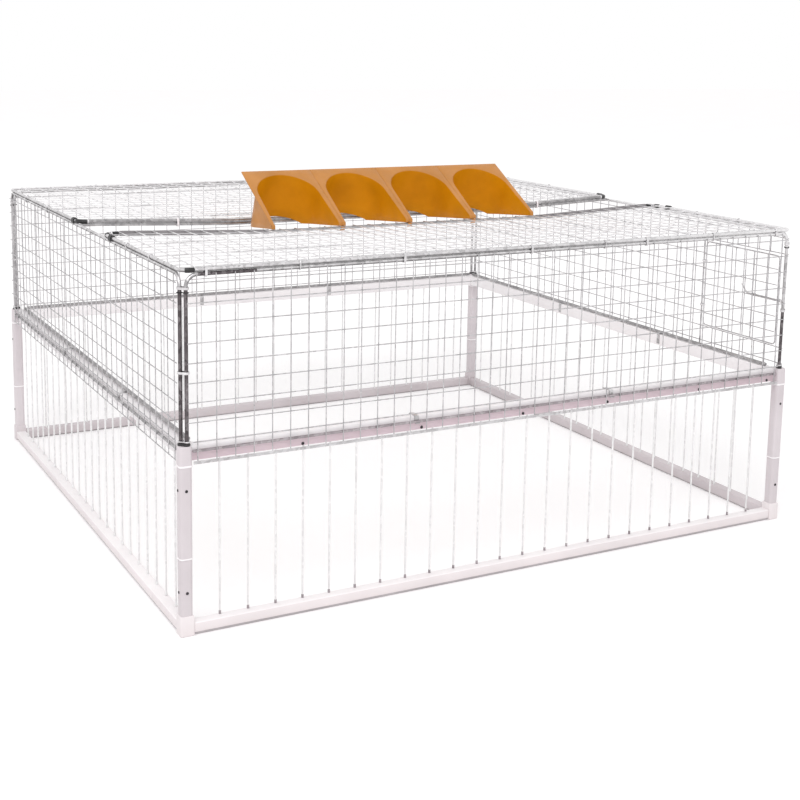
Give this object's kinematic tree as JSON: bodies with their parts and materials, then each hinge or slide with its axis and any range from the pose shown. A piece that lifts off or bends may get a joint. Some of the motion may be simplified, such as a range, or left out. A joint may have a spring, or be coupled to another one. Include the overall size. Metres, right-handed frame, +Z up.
{
  "type": "pigeon trap cage",
  "caption": "Low square cage with a white tube and rod base, wire mesh upper walls and roof, and a row of drop-in chutes in a gap across the roof.",
  "frame": {"origin": "on the floor, at the centre of the cage's footprint", "axes": "+X to the right along the front, +Y from the front to the rear, +Z up"},
  "size_m": [1.2, 1.14, 0.6453],
  "materials": {
    "white_pvc": "satin white extruded and moulded PVC",
    "galvanised_steel": "galvanised",
    "ochre_plastic": "satin moulded",
    "black_plastic": "matt"
  },
  "bodies": {
    "cage": {"bottom_rail_front": "white_pvc", "bottom_rail_right": "white_pvc", "bottom_rail_rear": "white_pvc", "bottom_rail_left": "white_pvc", "mid_rail_front": "white_pvc", "mid_rail_right": "white_pvc", "mid_rail_rear": "white_pvc", "mid_rail_left": "white_pvc", "corner_foot_front_left": "white_pvc", "corner_post_front_left": "white_pvc", "corner_cap_front_left": "white_pvc", "corner_foot_front_right": "white_pvc", "corner_post_front_right": "white_pvc", "corner_cap_front_right": "white_pvc", "corner_foot_rear_right": "white_pvc", "corner_post_rear_right": "white_pvc", "corner_cap_rear_right": "white_pvc", "corner_foot_rear_left": "white_pvc", "corner_post_rear_left": "white_pvc", "corner_cap_rear_left": "white_pvc", "rods_front": "galvanised_steel", "rods_right": "galvanised_steel", "rods_rear": "galvanised_steel", "rods_left": "galvanised_steel", "panel_frame_front": "galvanised_steel", "panel_frame_right": "galvanised_steel", "panel_frame_rear": "galvanised_steel", "panel_frame_left": "galvanised_steel", "panel_mesh_front": "galvanised_steel", "panel_mesh_rear": "galvanised_steel", "panel_mesh_left": "galvanised_steel", "panel_mesh_right_rear": "galvanised_steel", "panel_mesh_right_under_door": "galvanised_steel", "panel_mesh_right_over_door": "galvanised_steel", "roof_frame": "galvanised_steel", "roof_mesh": "galvanised_steel", "roof_brace": "galvanised_steel", "roof_ties": "galvanised_steel", "lid_rings": "galvanised_steel", "leg_ties": "galvanised_steel", "door_rings": "galvanised_steel", "bolt_keeper": "galvanised_steel", "rail_clips": "galvanised_steel", "rail_bars": "galvanised_steel", "leg_grommets": "black_plastic", "roof_clips": "black_plastic", "brace_ties": "white_pvc"},
    "lid": {"lid_frame": "galvanised_steel", "lid_mesh": "galvanised_steel", "lid_clips": "black_plastic", "trap_hooks": "ochre_plastic", "trap_chute_1": "ochre_plastic", "trap_chute_2": "ochre_plastic", "trap_chute_3": "ochre_plastic", "trap_chute_4": "ochre_plastic"},
    "side_door": {"door_frame": "galvanised_steel", "door_mesh": "galvanised_steel", "bolt_guides": "galvanised_steel"},
    "bolt": {"door_bolt": "galvanised_steel"}
  },
  "joints": [
    {"name": "lid_hinge", "type": "hinge", "parent": "cage", "child": "lid", "pos_m": [0, -0.5625, 0.561], "axis": [1, 0, 0], "range_deg": [0, 110]},
    {"name": "side_door_hinge", "type": "hinge", "parent": "cage", "child": "side_door", "pos_m": [0.5925, -0.336, 0.4228], "axis": [0, 0, 1], "range_deg": [0, 120]},
    {"name": "bolt_slide", "type": "slide", "parent": "side_door", "child": "bolt", "axis": [0, 1, 0], "range_m": [-0.007, 0.003]}
  ]
}
